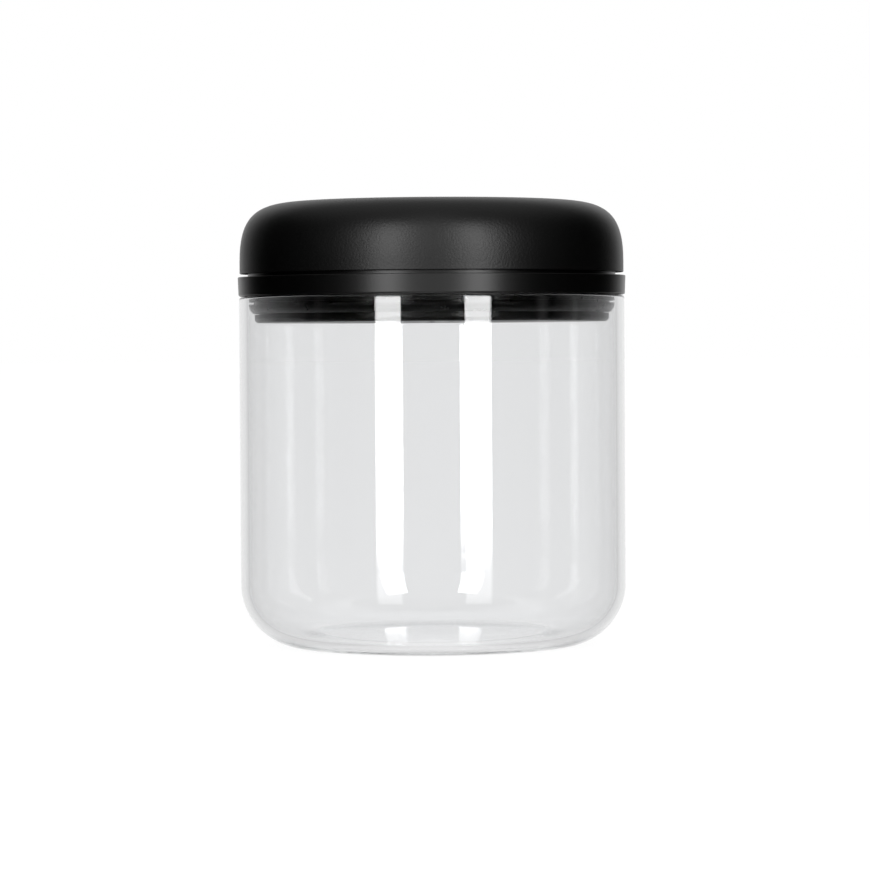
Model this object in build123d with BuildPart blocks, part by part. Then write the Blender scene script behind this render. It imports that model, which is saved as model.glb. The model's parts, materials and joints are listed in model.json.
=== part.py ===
from build123d import *
import os
from math import asin, cos, degrees, radians, sin, sqrt

os.makedirs("parts", exist_ok=True)

# Sizes are in millimetres, +Z is up, and the origin is the centre of the jar's foot

# Fits between pieces
running_gap = 0.3  # between pieces that move past each other
seal_gap = 0.2  # between a seal and the wall that it wipes
seat_gap = 0.05  # between fixed pieces that meet on a round face
cut_overrun = 1.0  # how far a cut runs past the material

# Glass jar
jar_radius = 54.4
jar_height = 98.7
glass_wall = 2.5
foot_corner = 17.8  # outside radius between wall and foot
floor_corner = 15.0  # inside radius between wall and floor
base_thickness = 2.6  # at the foot ring
foot_ring_width = 3.6  # ring that the jar stands on
push_up_height = 2.0
floor_crown = 2.0  # rise of the inside floor to its centre

# Lid chassis, outside
collar_overhang = 0.3  # how far the collar stands out past the glass
collar_taper = 0.2
collar_height = 5.4
collar_top_edge = 0.25
collar_bottom_edge = 0.5
neck_wall = 2.1
neck_height = 6.4
neck_foot = 1.4  # thickening where the neck meets the floor

# Lid chassis, plug that goes into the glass
plug_inset = 3.4  # from the glass to the plug wall, which the gasket fills
plug_wall = 2.0
plug_depth = 5.9
plug_ledge_width = 1.5  # keeps the gasket from slipping off
plug_ledge_height = 0.7

# Lid chassis, floor, pump cylinder and central column
floor_rise = 1.0  # floor top above the collar's underside
floor_thickness = 2.4
pump_wall = 2.0
column_radius = 11.0
column_wall = 2.4
column_height = 12.0
column_roof = 2.4
port_radius = 3.3  # release port in the column's roof
seat_ring_radius = 4.6
seat_ring_width = 0.8
seat_ring_height = 0.3

# Rim gasket
gasket_rib_height = 1.7
gasket_groove_height = 0.7
gasket_lip_height = 2.5
gasket_groove_depth = 1.4
gasket_taper = 1.2

# Plug cover with its grille, and the filter on it
cover_inset = 1.9  # from the glass to the cover's edge
cover_thickness = 1.6
cover_edge = 1.2
grille_count = 24
grille_slot_width = 1.8
grille_land = 2.5  # plain cover between the slots' ends and the ribs
rib_width = 1.2
rib_height = 1.2
rib_inner_radius = 12.3
rib_clearance = 7.2  # from the outer rib to the screw bosses
filter_thickness = 1.5

# Screws, three in each place
screw_count = 3
screw_radius = 1.25
screw_head_radius = 2.4
screw_head_height = 1.5
screw_recess_width = 0.7
screw_recess_depth = 0.6
screw_bite = 5.0  # shank length in the boss
boss_wall = 1.75
boss_rise = 2.5  # boss above the chassis floor
boss_overlap = 0.4  # how far a boss sinks into the plug wall
cover_screw_angle = 30.0
cam_screw_angle = 30.0

# Umbrella valves
valve_head_radius = 4.8
valve_head_height = 0.8
valve_head_edge = 0.35
valve_stem_radius = 1.2
valve_bulb_radius = 1.7
valve_bulb_height = 1.2
valve_land = 1.3  # floor or plate left under a valve's head
valve_recess = 0.5  # pocket radius beyond the head or bulb
air_hole_radius = 0.6
air_hole_circle = 3.3
air_hole_count = 6
inlet_angle = 30.0
exhaust_angle = 210.0

# Twist cap
cap_inset = 0.25  # how far the cap stands in from the glass
cap_gap = 0.9  # open line between collar and cap
cap_side = 3.2  # straight side under the rounded top edge
cap_wall = 2.0
cap_roof = 2.5
cap_edge = 0.25  # rounding of the lower edge
crown_width = 18.0  # rounded top edge, measured inwards
crown_depth = 17.0  # rounded top edge, measured down
crown_fullness_share = 0.76  # how square the rounded edge is, as a curve's handle
snap_depth = 0.7  # bead that holds the cap on the neck
snap_height = 0.9
snap_rise = 3.5  # bead above the collar
glide_thickness = 1.0
glide_inset = 0.2  # ring's outer edge in from the neck's
glide_lip = 2.0
ledge_height = 1.7  # cap's ledge over the glide ring
ledge_reach = 0.2  # how far the ledge passes the neck's bore
guide_wall = 1.7  # tube round the button
guide_depth = 6.0

# Cam ring, which turns with the cap
twist_angle = 80.0  # working turn of the cap
cam_flange_gap = 1.5  # from the flange to the neck
cam_flange_width = 5.4
cam_flange_height = 2.0
cam_flange_rise = 6.5  # flange above the ring's lower edge
cam_wall = 4.5
cam_groove_depth = 3.3
cam_below_pin = 4.0
cam_above_pin = 3.5
cam_headroom = 1.5
cam_entry_angle = 10.0  # groove past rest, with the way in for the pins

# Piston with its seals and pins
piston_lift = 0.8  # lowest gap between piston and floor
piston_gap = 0.6  # between piston and cylinder or column
plate_thickness = 2.5
skirt_wall = 2.5
hub_wall = 2.5
hub_height = 6.2
seal_rise = 0.8  # seal groove above the piston's underside
seal_height = 2.0
seal_depth = 1.5
inner_seal_height = 1.5
inner_seal_depth = 1.2
pin_count = 3
pin_angle = 90.0
pin_radius = 1.5
pin_rise = 11.2  # pin above the piston's underside
pin_margin = 3.0  # skirt above the pin
pin_head_radius = 2.3
pin_head_height = 0.8
pin_tip = 0.3  # chamfer at the pin's tip

# Release button, stem and poppet
button_radius = 12.0
button_inset = 0.3  # button below the cap's top
button_roof = 1.6
button_skirt = 1.4
button_depth = 6.8
button_edge = 0.5
dish_radius = 10.0
dish_depth = 0.5
clamp_wall = 1.2  # ring under the button that takes the stem's cup
clamp_depth = 3.4
cup_radius = 7.5
cup_wall = 1.2
cup_floor = 1.0
cup_depth = 4.2  # overall height of the cup
stem_radius = 2.6
stem_bore = 1.2
stem_spigot_radius = 2.0
poppet_radius = 7.0
poppet_thickness = 1.2
release_seal_thickness = 0.6
spigot_reach = 0.2

# Vacuum indicator
indicator_radius = 3.0
indicator_flange_radius = 4.6
indicator_flange_height = 0.8
indicator_edge = 0.3
diaphragm_web = 0.5
diaphragm_bead_height = 1.6

# Coil springs
button_wire_radius = 0.35
button_spring_radius = 6.0
button_spring_turns = 4
indicator_wire_radius = 0.175
indicator_spring_radius = 2.2
indicator_spring_turns = 3

# Places worked out from the sizes, radii first
jar_bore = jar_radius - glass_wall
foot_radius = jar_radius - foot_corner
push_up_radius = foot_radius - foot_ring_width  # hollow under the base
floor_radius = jar_bore - floor_corner
collar_radius = jar_radius + collar_overhang
cap_radius = jar_radius - cap_inset
cap_bore = cap_radius - cap_wall
neck_radius = cap_bore - running_gap
neck_bore = neck_radius - neck_wall
plug_radius = jar_bore - plug_inset
plug_bore = plug_radius - plug_wall
cover_radius = jar_bore - cover_inset
cam_flange_radius = neck_bore - cam_flange_gap
cam_radius = cam_flange_radius - cam_flange_width
cam_bore = cam_radius - cam_wall
groove_root = cam_bore + cam_groove_depth
pump_radius = cam_bore - running_gap
pump_bore = pump_radius - pump_wall
column_bore = column_radius - column_wall
piston_radius = pump_bore - piston_gap
piston_bore = column_radius + piston_gap
skirt_bore = piston_radius - skirt_wall
hub_radius = piston_bore + hub_wall
valve_circle = (pump_bore + column_radius) / 2
boss_radius = screw_radius + boss_wall
cover_screw_circle = plug_bore + boss_overlap - boss_radius
cam_screw_circle = cam_radius + seat_gap + boss_radius
rib_outer_radius = cover_screw_circle - boss_radius - rib_width - rib_clearance
grille_start = rib_inner_radius + rib_width + grille_land
grille_slot_length = rib_outer_radius - grille_land - grille_start
guide_bore = button_radius + running_gap
indicator_hole = indicator_radius + running_gap

# Heights, from the foot up
collar_bottom = jar_height + running_gap
collar_top = collar_bottom + collar_height
neck_top = collar_top + neck_height
plug_bottom = collar_bottom - plug_depth
floor_top = collar_bottom + floor_rise
floor_bottom = floor_top - floor_thickness
column_top = floor_top + column_height
cap_bottom = collar_top + cap_gap
crown_start = cap_bottom + cap_side
cap_top = crown_start + crown_depth
cap_ceiling = cap_top - cap_roof
piston_bottom = floor_top + piston_lift
pin_height = piston_bottom + pin_rise
cam_bottom = pin_height - cam_below_pin
cam_top = cap_ceiling - cam_headroom
stroke = cam_top - cam_above_pin - pin_height
flange_bottom = cam_bottom + cam_flange_rise
flange_top = flange_bottom + cam_flange_height
slot_width = 2 * (pin_radius + running_gap)
button_top = cap_top - button_inset
button_ceiling = button_top - button_roof
cup_top = button_ceiling - diaphragm_bead_height
cup_bottom = cup_top - cup_depth
seat_ring_bottom = column_top - column_roof - seat_ring_height
release_seal_top = seat_ring_bottom - running_gap
poppet_top = release_seal_top - release_seal_thickness
poppet_bottom = poppet_top - poppet_thickness
indicator_flange_top = button_ceiling - running_gap
indicator_flange_bottom = indicator_flange_top - indicator_flange_height
diaphragm_top = indicator_flange_bottom - seat_gap
diaphragm_bottom = diaphragm_top - diaphragm_web

around_z = Axis((0, 0, 0), (0, 0, 1))
full_turn = 360.0
pin_angles = [pin_angle + turn * full_turn / pin_count for turn in range(pin_count)]


def polar_point(radius, angle):
    """Point at a radius and an angle round the lid's axis."""
    return radius * cos(radians(angle)), radius * sin(radians(angle))


def radial_plane(radius, angle, height):
    """Plane that faces outwards at a radius, an angle and a height."""
    x, y = polar_point(radius, angle)
    return Plane(origin=(x, y, height), z_dir=(cos(radians(angle)), sin(radians(angle)), 0))


def upright_plane(x, y, height):
    """Plane for a profile that is turned round an upright line at x, y."""
    return Plane(origin=(x, y, height), x_dir=(1, 0, 0), z_dir=(0, -1, 0))


def write_piece(piece, label):
    """Name a finished piece and write its file."""
    piece.part.label = label
    export_step(piece.part, f"parts/{label}.step")


# Glass jar: one wall turned round the axis, with a push-up under the base and a fire polished rim
with BuildPart() as glass_jar:
    with BuildSketch(Plane.XZ):
        with BuildLine():
            TangentArc((0, push_up_height), (push_up_radius, 0), tangent=(1, 0))
            Line((push_up_radius, 0), (foot_radius, 0))
            TangentArc((foot_radius, 0), (jar_radius, foot_corner), tangent=(1, 0))
            rim_start = jar_height - glass_wall / 2
            Line((jar_radius, foot_corner), (jar_radius, rim_start))
            TangentArc((jar_radius, rim_start), (jar_bore, rim_start), tangent=(0, 1))
            floor_corner_top = base_thickness + floor_corner
            Line((jar_bore, rim_start), (jar_bore, floor_corner_top))
            TangentArc((jar_bore, floor_corner_top), (floor_radius, base_thickness), tangent=(0, -1))
            floor_centre = base_thickness + floor_crown
            TangentArc((0, floor_centre), (floor_radius, base_thickness), tangent=(1, 0))
            Line((0, floor_centre), (0, push_up_height))
        make_face()
    revolve(axis=around_z)
write_piece(glass_jar, "glass_jar")

# Lid chassis: collar, neck, plug wall, floor, pump cylinder and central column in one moulding
with BuildPart() as lid_chassis:
    snap_middle = collar_top + snap_rise
    snap_half = snap_height / 2 + running_gap
    seat_ring_outer = seat_ring_radius + seat_ring_width
    with BuildSketch(Plane.XZ):
        with BuildLine():
            FilletPolyline(
                (plug_radius, collar_bottom),
                (collar_radius - collar_taper, collar_bottom),
                (collar_radius, collar_top),
                (neck_radius, collar_top),
                radius=(collar_bottom_edge, collar_top_edge),
            )
            Polyline(
                (neck_radius, collar_top),
                (neck_radius, snap_middle - snap_half),
                (neck_radius - snap_depth, snap_middle - snap_half),
                (neck_radius - snap_depth, snap_middle + snap_half),
                (neck_radius, snap_middle + snap_half),
                (neck_radius, neck_top),
                (neck_bore, neck_top),
                (neck_bore, floor_top + neck_foot),
                (plug_bore, floor_top),
                (pump_radius, floor_top),
                (pump_radius, cam_top),
                (pump_bore, cam_top),
                (pump_bore, floor_top),
                (column_radius, floor_top),
                (column_radius, column_top),
                (port_radius, column_top),
                (port_radius, column_top - column_roof),
                (seat_ring_radius, column_top - column_roof),
                (seat_ring_radius, seat_ring_bottom),
                (seat_ring_outer, seat_ring_bottom),
                (seat_ring_outer, column_top - column_roof),
                (column_bore, column_top - column_roof),
                (column_bore, floor_bottom),
                (plug_bore, floor_bottom),
                (plug_bore, plug_bottom),
                (plug_radius + plug_ledge_width, plug_bottom),
                (plug_radius + plug_ledge_width, plug_bottom + plug_ledge_height),
                (plug_radius, plug_bottom + plug_ledge_height),
                (plug_radius, collar_bottom),
            )
        make_face()
    revolve(axis=around_z)
    # Upright slots for the follower pins
    slot_bottom = pin_height - pin_radius - running_gap
    with BuildSketch(Plane.XY.offset(slot_bottom)):
        with PolarLocations((pump_radius + pump_bore) / 2, pin_count, start_angle=pin_angle):
            Rectangle(pump_wall + cut_overrun, slot_width)
    extrude(amount=cam_top - slot_bottom + cut_overrun, mode=Mode.SUBTRACT)
    # Bosses for the cover screws, with blind pilot holes
    with BuildSketch(Plane.XY.offset(plug_bottom)):
        with PolarLocations(cover_screw_circle, screw_count, start_angle=cover_screw_angle):
            Circle(boss_radius)
    extrude(amount=floor_top + boss_rise - plug_bottom)
    with BuildSketch(Plane.XY.offset(plug_bottom)):
        with PolarLocations(cover_screw_circle, screw_count, start_angle=cover_screw_angle):
            Circle(screw_radius + seat_gap)
    extrude(amount=screw_bite + running_gap, mode=Mode.SUBTRACT)
    # Pocket, stem hole and air holes of the inlet valve
    inlet_seat = floor_bottom + valve_land
    with BuildSketch(Plane.XY.offset(inlet_seat)):
        with Locations(polar_point(valve_circle, inlet_angle)):
            Circle(valve_head_radius + valve_recess)
    extrude(amount=floor_top - inlet_seat, mode=Mode.SUBTRACT)
    with BuildSketch(Plane.XY.offset(inlet_seat)):
        with Locations(polar_point(valve_circle, inlet_angle)):
            Circle(valve_stem_radius + seat_gap)
            with PolarLocations(air_hole_circle, air_hole_count):
                Circle(air_hole_radius)
    extrude(amount=floor_bottom - inlet_seat, mode=Mode.SUBTRACT)
write_piece(lid_chassis, "lid_chassis")

# Rim gasket: a rib, a groove and a lip that rounds in under the line where it wipes the glass
with BuildPart() as rim_gasket:
    gasket_radius = jar_bore - running_gap
    gasket_bore = plug_radius + seat_gap
    groove_top = collar_bottom - gasket_rib_height
    lip_top = groove_top - gasket_groove_height
    lip_bottom = lip_top - gasket_lip_height
    with BuildSketch(Plane.XZ):
        with BuildLine():
            lip_edge = (gasket_radius - gasket_taper, lip_bottom)
            TangentArc((gasket_radius, lip_top), lip_edge, tangent=(0, -1))
            Polyline(
                lip_edge,
                (gasket_bore, lip_bottom),
                (gasket_bore, collar_bottom),
                (gasket_radius, collar_bottom),
                (gasket_radius, groove_top),
                (gasket_radius - gasket_groove_depth, groove_top),
                (gasket_radius - gasket_groove_depth, lip_top),
                (gasket_radius, lip_top),
            )
        make_face()
    revolve(axis=around_z)
write_piece(rim_gasket, "rim_gasket")

# Plug cover: disc with an intake grille and two ribs that centre the filter
with BuildPart() as plug_cover:
    cover_bottom = plug_bottom - cover_thickness
    with BuildSketch(Plane.XY.offset(cover_bottom)):
        Circle(cover_radius)
    extrude(amount=cover_thickness)
    fillet(plug_cover.faces().sort_by(Axis.Z)[0].edges(), radius=cover_edge)
    with BuildSketch(Plane.XY.offset(plug_bottom)):
        for rib_radius in (rib_inner_radius, rib_outer_radius):
            Circle(rib_radius + rib_width)
            Circle(rib_radius, mode=Mode.SUBTRACT)
    extrude(amount=rib_height)
    with BuildSketch(Plane.XY.offset(cover_bottom)):
        with PolarLocations(grille_start + grille_slot_length / 2, grille_count):
            SlotOverall(grille_slot_length, grille_slot_width)
    extrude(amount=cover_thickness, mode=Mode.SUBTRACT)
    with Locations(Plane(origin=(0, 0, cover_bottom), x_dir=(1, 0, 0), z_dir=(0, 0, -1))):
        with PolarLocations(cover_screw_circle, screw_count, start_angle=-cover_screw_angle):
            CounterSinkHole(
                radius=screw_radius + seat_gap,
                counter_sink_radius=screw_head_radius + seat_gap,
                depth=cover_thickness,
            )
write_piece(plug_cover, "plug_cover")

# Cover screws: countersunk, with a cross recess, driven in from below
with BuildPart() as cover_screws:
    head_drop = screw_head_radius - screw_radius
    with BuildSketch(Plane.XY.offset(cover_bottom)):
        with PolarLocations(cover_screw_circle, screw_count, start_angle=cover_screw_angle):
            Circle(screw_radius)
    extrude(amount=cover_thickness + screw_bite)
    with Locations(Plane.XY.offset(cover_bottom)):
        with PolarLocations(cover_screw_circle, screw_count, start_angle=cover_screw_angle):
            Cone(
                bottom_radius=screw_head_radius,
                top_radius=screw_radius,
                height=head_drop,
                align=(Align.CENTER, Align.CENTER, Align.MIN),
            )
    with BuildSketch(Plane.XY.offset(cover_bottom)):
        with PolarLocations(cover_screw_circle, screw_count, start_angle=cover_screw_angle):
            Rectangle(screw_head_radius, screw_recess_width)
            Rectangle(screw_recess_width, screw_head_radius)
    extrude(amount=screw_recess_depth, mode=Mode.SUBTRACT)
write_piece(cover_screws, "cover_screws")

# Intake filter: a felt ring that lies on the grille between the cover's ribs
with BuildPart() as intake_filter:
    with BuildSketch(Plane.XY.offset(plug_bottom)):
        Circle(rib_outer_radius - seat_gap)
        Circle(rib_inner_radius + rib_width + seat_gap, mode=Mode.SUBTRACT)
    extrude(amount=filter_thickness)
write_piece(intake_filter, "intake_filter")


def umbrella_valve(x, y, seat):
    """Rubber valve: a thin head over the air holes, a stem through the land and a bulb under it."""
    bulb_top = -valve_land - seat_gap
    with BuildPart() as valve:
        with BuildSketch(upright_plane(x, y, seat)):
            with BuildLine():
                Polyline(
                    (0, valve_head_height),
                    (valve_stem_radius, valve_head_height),
                    (valve_head_radius, valve_head_edge),
                    (valve_head_radius, 0),
                    (valve_stem_radius, 0),
                    (valve_stem_radius, bulb_top),
                    (valve_bulb_radius, bulb_top),
                    (valve_stem_radius, bulb_top - valve_bulb_height),
                    (0, bulb_top - valve_bulb_height),
                    close=True,
                )
            make_face()
        revolve(axis=Axis((x, y, seat), (0, 0, 1)))
    return valve


exhaust_seat = piston_bottom + plate_thickness
inlet_valve = umbrella_valve(*polar_point(valve_circle, inlet_angle), inlet_seat)
exhaust_valve = umbrella_valve(*polar_point(valve_circle, exhaust_angle), exhaust_seat)
write_piece(inlet_valve, "inlet_valve")
write_piece(exhaust_valve, "exhaust_valve")

# Glide ring: a slippery angle ring on the neck, under the cap's ledge
with BuildPart() as glide_ring:
    lip_radius = neck_bore - seat_gap
    with BuildSketch(Plane.XZ):
        with BuildLine():
            Polyline(
                (neck_radius - glide_inset, neck_top),
                (neck_radius - glide_inset, neck_top + glide_thickness),
                (lip_radius - glide_thickness, neck_top + glide_thickness),
                (lip_radius - glide_thickness, neck_top - glide_lip),
                (lip_radius, neck_top - glide_lip),
                (lip_radius, neck_top),
                close=True,
            )
        make_face()
    revolve(axis=around_z)
write_piece(glide_ring, "glide_ring")

# Hollow of the twist cap: snap bead, ledge, ceiling and guide tube, with room left for the bosses
with BuildPart() as cap_hollow:
    crown_flat = cap_radius - crown_width
    crown_rise = cap_ceiling - crown_start
    crown_run = cap_bore - crown_flat
    inner_handle = (cap_bore, crown_start + crown_fullness_share * crown_rise)
    ceiling_handle = (crown_flat + crown_fullness_share * crown_run, cap_ceiling)
    bead_top = snap_middle + snap_height / 2
    bead_bottom = snap_middle - snap_height / 2
    ledge_bottom = neck_top + glide_thickness + running_gap
    ledge_top = ledge_bottom + ledge_height
    ledge_bore = neck_bore - ledge_reach
    guide_radius = guide_bore + guide_wall
    with BuildSketch(Plane.XZ):
        with BuildLine():
            Line((cap_bore, crown_start), (cap_bore, cap_bottom - cut_overrun))
            Line((cap_bore, cap_bottom - cut_overrun), (0, cap_bottom - cut_overrun))
            Line((0, cap_bottom - cut_overrun), (0, cap_ceiling))
            Line((0, cap_ceiling), (crown_flat, cap_ceiling))
            Bezier((crown_flat, cap_ceiling), ceiling_handle, inner_handle, (cap_bore, crown_start))
        make_face()
        with BuildLine():
            Polyline(
                (cap_radius, bead_bottom - snap_depth),
                (cap_bore, bead_bottom),
                (cap_bore - snap_depth, snap_middle),
                (cap_bore, bead_top),
                (cap_radius, bead_top + snap_depth),
                close=True,
            )
        make_face(mode=Mode.SUBTRACT)
        with BuildLine():
            Polyline(
                (cap_radius, ledge_bottom),
                (ledge_bore, ledge_bottom),
                (ledge_bore, ledge_top),
                (cap_radius, ledge_top),
                close=True,
            )
        make_face(mode=Mode.SUBTRACT)
        with BuildLine():
            Polyline(
                (0, cap_ceiling - guide_depth),
                (guide_radius, cap_ceiling - guide_depth),
                (guide_radius, cap_top),
                (0, cap_top),
                close=True,
            )
        make_face(mode=Mode.SUBTRACT)
    revolve(axis=around_z)
    with BuildSketch(Plane.XY.offset(flange_top)):
        with PolarLocations(cam_screw_circle, screw_count, start_angle=cam_screw_angle):
            Circle(boss_radius)
    extrude(amount=cap_top - flange_top, mode=Mode.SUBTRACT)

# Twist cap: the black shell with its full rounded edge
with BuildPart() as twist_cap:
    outer_handle = (cap_radius, crown_start + crown_fullness_share * crown_depth)
    top_handle = (crown_flat + crown_fullness_share * crown_width, cap_top)
    with BuildSketch(Plane.XZ):
        with BuildLine():
            Line((0, cap_bottom), (cap_radius, cap_bottom))
            Line((cap_radius, cap_bottom), (cap_radius, crown_start))
            Bezier((cap_radius, crown_start), outer_handle, top_handle, (crown_flat, cap_top))
            Line((crown_flat, cap_top), (0, cap_top))
            Line((0, cap_top), (0, cap_bottom))
        make_face()
    revolve(axis=around_z)
    add(cap_hollow.part, mode=Mode.SUBTRACT)
    with BuildSketch(Plane.XY.offset(cap_ceiling - guide_depth)):
        Circle(guide_bore)
    extrude(amount=cap_roof + guide_depth, mode=Mode.SUBTRACT)
    with BuildSketch(Plane.XY.offset(flange_top)):
        with PolarLocations(cam_screw_circle, screw_count, start_angle=cam_screw_angle):
            Circle(screw_radius + seat_gap)
    extrude(amount=screw_bite - cam_flange_height + running_gap, mode=Mode.SUBTRACT)
    fillet(twist_cap.faces().sort_by(Axis.Z)[0].edges(), radius=cap_edge)
    top_rim = twist_cap.faces().filter_by(Plane.XY).sort_by(Axis.Z)[-1]
    fillet(top_rim.edges().sort_by(SortBy.LENGTH)[0], radius=cap_edge)
write_piece(twist_cap, "twist_cap")

# Cutter for one helical groove, with the upright way in at its lower end
with BuildPart() as cam_groove:
    end_margin = degrees(asin(slot_width / 2 / cam_bore))
    groove_turn = cam_entry_angle + twist_angle + end_margin
    lead = stroke * full_turn / twist_angle
    groove_low = pin_height - stroke * cam_entry_angle / twist_angle
    cutter_reach = cam_groove_depth + cut_overrun
    with BuildLine():
        groove_path = Helix(
            pitch=lead,
            height=stroke * groove_turn / twist_angle,
            radius=groove_root - cutter_reach / 2,
            center=(0, 0, groove_low),
            lefthand=True,
        )
    with BuildSketch(Plane(origin=groove_path @ 0, x_dir=(1, 0, 0), z_dir=groove_path % 0)):
        Rectangle(cutter_reach, slot_width)
    sweep(path=groove_path, is_frenet=True)
    with BuildSketch(Plane.XY.offset(cam_bottom - cut_overrun)):
        with Locations((groove_root - cutter_reach / 2, 0)):
            Rectangle(cutter_reach, slot_width)
    extrude(amount=groove_low - cam_bottom + cut_overrun)

# Cam ring: flanged ring whose grooves drive the follower pins up and down
with BuildPart() as cam_ring:
    with BuildSketch(Plane.XZ):
        with BuildLine():
            Polyline(
                (cam_bore, cam_bottom),
                (cam_radius, cam_bottom),
                (cam_radius, flange_bottom),
                (cam_flange_radius, flange_bottom),
                (cam_flange_radius, flange_top),
                (cam_radius, flange_top),
                (cam_radius, cam_top),
                (cam_bore, cam_top),
                close=True,
            )
        make_face()
    revolve(axis=around_z)
    with PolarLocations(0, pin_count, start_angle=pin_angle + cam_entry_angle):
        add(cam_groove.part, mode=Mode.SUBTRACT)
    with BuildSketch(Plane.XY.offset(flange_bottom)):
        with PolarLocations(cam_screw_circle, screw_count, start_angle=cam_screw_angle):
            Circle(screw_radius + seat_gap)
    extrude(amount=cam_flange_height, mode=Mode.SUBTRACT)
write_piece(cam_ring, "cam_ring")

# Cam screws: pan heads under the flange, shanks in the cap's bosses
with BuildPart() as cam_screws:
    head_bottom = flange_bottom - screw_head_height
    with BuildSketch(Plane.XY.offset(head_bottom)):
        with PolarLocations(cam_screw_circle, screw_count, start_angle=cam_screw_angle):
            Circle(screw_head_radius)
    extrude(amount=screw_head_height)
    with BuildSketch(Plane.XY.offset(flange_bottom)):
        with PolarLocations(cam_screw_circle, screw_count, start_angle=cam_screw_angle):
            Circle(screw_radius)
    extrude(amount=screw_bite)
    with BuildSketch(Plane.XY.offset(head_bottom)):
        with PolarLocations(cam_screw_circle, screw_count, start_angle=cam_screw_angle):
            Rectangle(screw_head_radius, screw_recess_width)
            Rectangle(screw_recess_width, screw_head_radius)
    extrude(amount=screw_recess_depth, mode=Mode.SUBTRACT)
write_piece(cam_screws, "cam_screws")

# Piston: plate with a hub round the column and a skirt that carries the pins
with BuildPart() as piston:
    seal_bottom = piston_bottom + seal_rise
    plate_top = piston_bottom + plate_thickness
    skirt_top = pin_height + pin_margin
    hub_top = piston_bottom + hub_height
    seal_root = piston_radius - seal_depth
    inner_seal_root = piston_bore + inner_seal_depth
    with BuildSketch(Plane.XZ):
        with BuildLine():
            Polyline(
                (piston_bore, piston_bottom),
                (piston_radius, piston_bottom),
                (piston_radius, seal_bottom),
                (seal_root, seal_bottom),
                (seal_root, seal_bottom + seal_height),
                (piston_radius, seal_bottom + seal_height),
                (piston_radius, skirt_top),
                (skirt_bore, skirt_top),
                (skirt_bore, plate_top),
                (hub_radius, plate_top),
                (hub_radius, hub_top),
                (piston_bore, hub_top),
                (piston_bore, seal_bottom + inner_seal_height),
                (inner_seal_root, seal_bottom + inner_seal_height),
                (inner_seal_root, seal_bottom),
                (piston_bore, seal_bottom),
                close=True,
            )
        make_face()
    revolve(axis=around_z)
    for angle in pin_angles:
        with BuildSketch(radial_plane(skirt_bore - cut_overrun, angle, pin_height)):
            Circle(pin_radius + seat_gap)
        extrude(amount=skirt_wall + cut_overrun + cut_overrun, mode=Mode.SUBTRACT)
    # Hollow for the exhaust valve's bulb, its stem hole and its air holes
    with BuildSketch(Plane.XY.offset(piston_bottom)):
        with Locations(polar_point(valve_circle, exhaust_angle)):
            Circle(air_hole_circle + air_hole_radius + valve_recess)
    extrude(amount=plate_thickness - valve_land, mode=Mode.SUBTRACT)
    with BuildSketch(Plane.XY.offset(plate_top)):
        with Locations(polar_point(valve_circle, exhaust_angle)):
            Circle(valve_stem_radius + seat_gap)
            with PolarLocations(air_hole_circle, air_hole_count):
                Circle(air_hole_radius)
    extrude(amount=-valve_land, mode=Mode.SUBTRACT)
write_piece(piston, "piston")

# Piston seal: rubber ring in the skirt's groove
with BuildPart() as piston_seal:
    with BuildSketch(Plane.XY.offset(seal_bottom)):
        Circle(pump_bore - seal_gap)
        Circle(seal_root + seat_gap, mode=Mode.SUBTRACT)
    extrude(amount=seal_height - seat_gap)
    fillet(piston_seal.edges().sort_by(SortBy.LENGTH)[-1], radius=(piston_gap - seal_gap) / 2)
write_piece(piston_seal, "piston_seal")

# Inner seal: rubber ring in the hub's groove, round the column
with BuildPart() as piston_inner_seal:
    with BuildSketch(Plane.XY.offset(seal_bottom)):
        Circle(inner_seal_root - seat_gap)
        Circle(column_radius + seal_gap, mode=Mode.SUBTRACT)
    extrude(amount=inner_seal_height - seat_gap)
write_piece(piston_inner_seal, "piston_inner_seal")

# Follower pins: headed pins through the skirt and the slots into the cam grooves
with BuildPart() as follower_pins:
    head_seat = sqrt(skirt_bore**2 - pin_head_radius**2)
    pin_reach = groove_root - running_gap
    for angle in pin_angles:
        with BuildSketch(radial_plane(head_seat - pin_head_height, angle, pin_height)):
            Circle(pin_head_radius)
        extrude(amount=pin_head_height)
        with BuildSketch(radial_plane(head_seat, angle, pin_height)):
            Circle(pin_radius)
        extrude(amount=pin_reach - pin_tip - head_seat)
        with BuildSketch(radial_plane(pin_reach - pin_tip, angle, pin_height)):
            Circle(pin_radius)
        extrude(amount=pin_tip, taper=degrees(asin(pin_tip / pin_radius)))
write_piece(follower_pins, "follower_pins")

# Release button: dished top, skirt in the guide tube and a ring that clamps the stem's cup
with BuildPart() as release_button:
    clamp_bore = cup_radius + seat_gap
    dish_bottom = button_top - dish_depth
    with BuildSketch(Plane.XZ):
        with BuildLine():
            TangentArc((indicator_hole, dish_bottom), (dish_radius, button_top), tangent=(1, 0))
            Line((dish_radius, button_top), (button_radius - button_edge, button_top))
            TangentArc(
                (button_radius - button_edge, button_top),
                (button_radius, button_top - button_edge),
                tangent=(1, 0),
            )
            Polyline(
                (button_radius, button_top - button_edge),
                (button_radius, button_top - button_depth),
                (button_radius - button_skirt, button_top - button_depth),
                (button_radius - button_skirt, button_ceiling),
                (clamp_bore + clamp_wall, button_ceiling),
                (clamp_bore + clamp_wall, button_ceiling - clamp_depth),
                (clamp_bore, button_ceiling - clamp_depth),
                (clamp_bore, button_ceiling),
                (indicator_hole, button_ceiling),
                (indicator_hole, dish_bottom),
            )
        make_face()
    revolve(axis=around_z)
write_piece(release_button, "release_button")

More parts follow.
